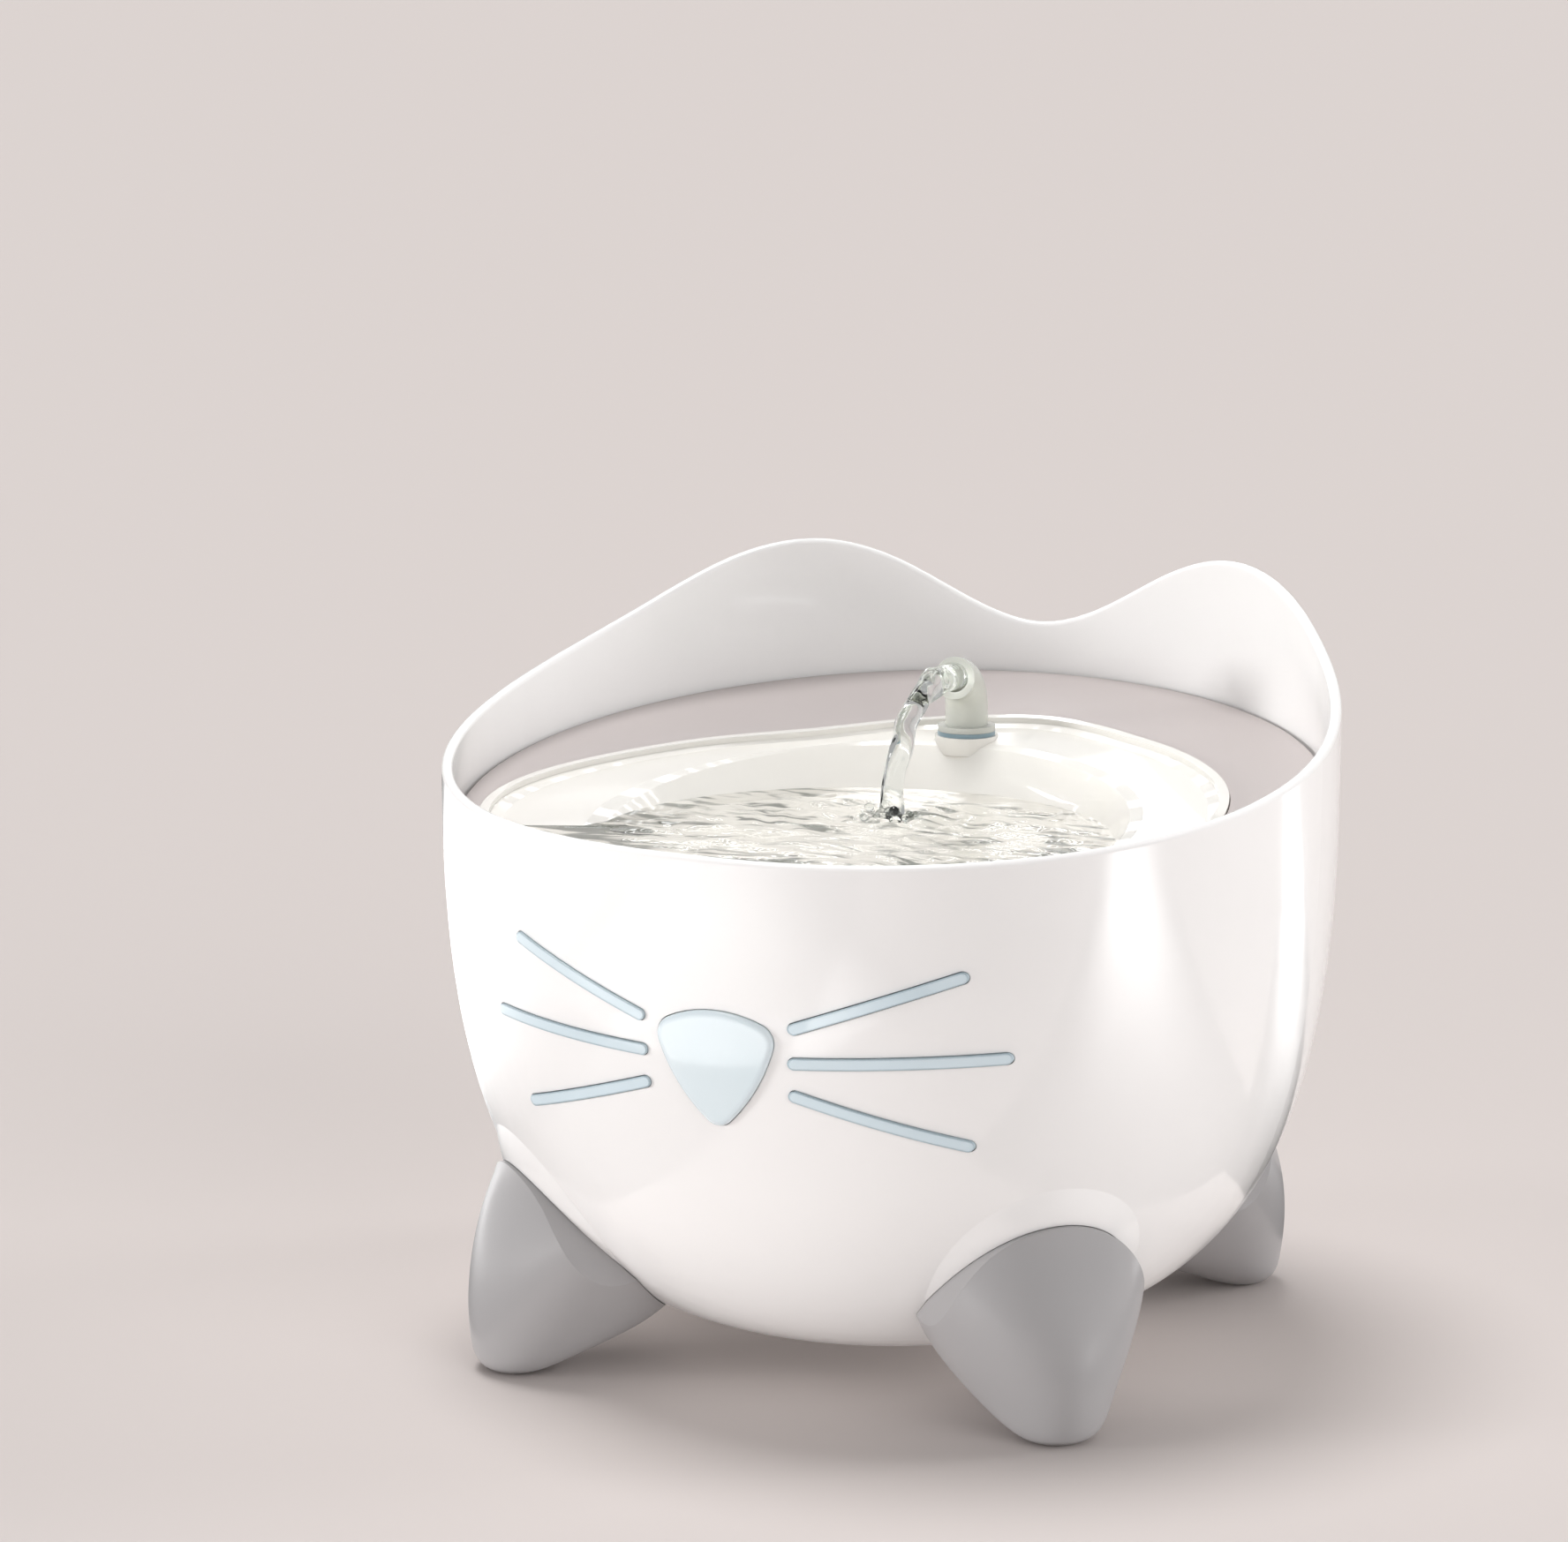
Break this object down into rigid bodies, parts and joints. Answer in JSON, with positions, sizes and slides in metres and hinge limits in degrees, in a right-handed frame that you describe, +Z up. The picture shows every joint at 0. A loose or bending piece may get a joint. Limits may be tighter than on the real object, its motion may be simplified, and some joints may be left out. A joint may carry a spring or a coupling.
{
  "type": "pet water fountain",
  "caption": "Round pet drinking fountain with a cat's face, an ear-shaped rim and ear-shaped feet; the tray with dish and filter lifts out over a pump, riser and bent spout.",
  "frame": {"origin": "on the floor, on the bowl's axis", "axes": "+Z up, nose towards -Y, +X to the viewer's right when facing the nose"},
  "size_m": [0.206, 0.206, 0.1725],
  "materials": {
    "white_shell": "gloss white ABS",
    "pale_blue_lens": "clear pale-blue acrylic",
    "grey_foot": "satin grey thermoplastic rubber",
    "seal_rubber": "moulded silicone rubber",
    "seal_blue": "blue-grey silicone rubber",
    "steel_screw": "stainless steel",
    "black_plastic": "satin black ABS",
    "contact_brass": "nickel-plated brass",
    "ceramic": "polished ceramic",
    "clear_silicone": "translucent silicone",
    "lamp_lens": "clear epoxy lens",
    "cable_sheath": "satin black sheath",
    "white_acetal": "natural acetal",
    "ferrite": "sealed ferrite",
    "grey_tray": "satin warm-grey polypropylene",
    "cream_dish": "gloss cream polypropylene",
    "filter_media": "white filter fibre",
    "frosted_spout": "frosted clear plastic"
  },
  "bodies": {
    "bowl": {"reservoir_bowl": "white_shell", "nose_lens": "pale_blue_lens", "whisker_window": "pale_blue_lens", "face_gasket": "seal_rubber", "foot_front_left": "grey_foot", "foot_front_right": "grey_foot", "foot_rear_left": "grey_foot", "foot_rear_right": "grey_foot", "foot_screws": "steel_screw", "power_inlet": "black_plastic", "inlet_pin": "contact_brass", "inlet_nut": "steel_screw", "inlet_seal": "seal_rubber", "pump_housing": "black_plastic", "pump_cover": "black_plastic", "rotor_shaft": "ceramic", "rear_bushing": "seal_rubber", "front_bushing": "seal_rubber", "intake_cage": "black_plastic", "suction_cups": "clear_silicone", "indicator_led": "lamp_lens", "pump_cable": "cable_sheath", "riser_tube": "clear_silicone"},
    "tray": {"tray_frame": "grey_tray", "drinking_dish": "cream_dish", "filter_holder": "white_acetal", "filter_cartridge": "filter_media", "filter_cover": "white_acetal", "holder_screws": "steel_screw"},
    "spout": {"spout": "frosted_spout", "spout_seal": "seal_blue"},
    "rotor": {"impeller": "white_acetal", "rotor_magnet": "ferrite"},
    "lever": {"flow_lever": "white_acetal"}
  },
  "joints": [
    {"name": "tray_lift", "type": "slide", "parent": "bowl", "child": "tray", "axis": [0, 0, 1], "range_m": [0, 0.11]},
    {"name": "spout_pull", "type": "slide", "parent": "tray", "child": "spout", "axis": [0, 0, 1], "range_m": [0, 0.03]},
    {"name": "impeller_spin", "type": "hinge", "parent": "bowl", "child": "rotor", "pos_m": [0, 0.045, 0.036], "axis": [0, 1, 0], "continuous": true},
    {"name": "flow_lever_turn", "type": "hinge", "parent": "bowl", "child": "lever", "pos_m": [0, 0.058, 0.036], "axis": [0, 1, 0], "range_deg": [-55, 0]}
  ]
}
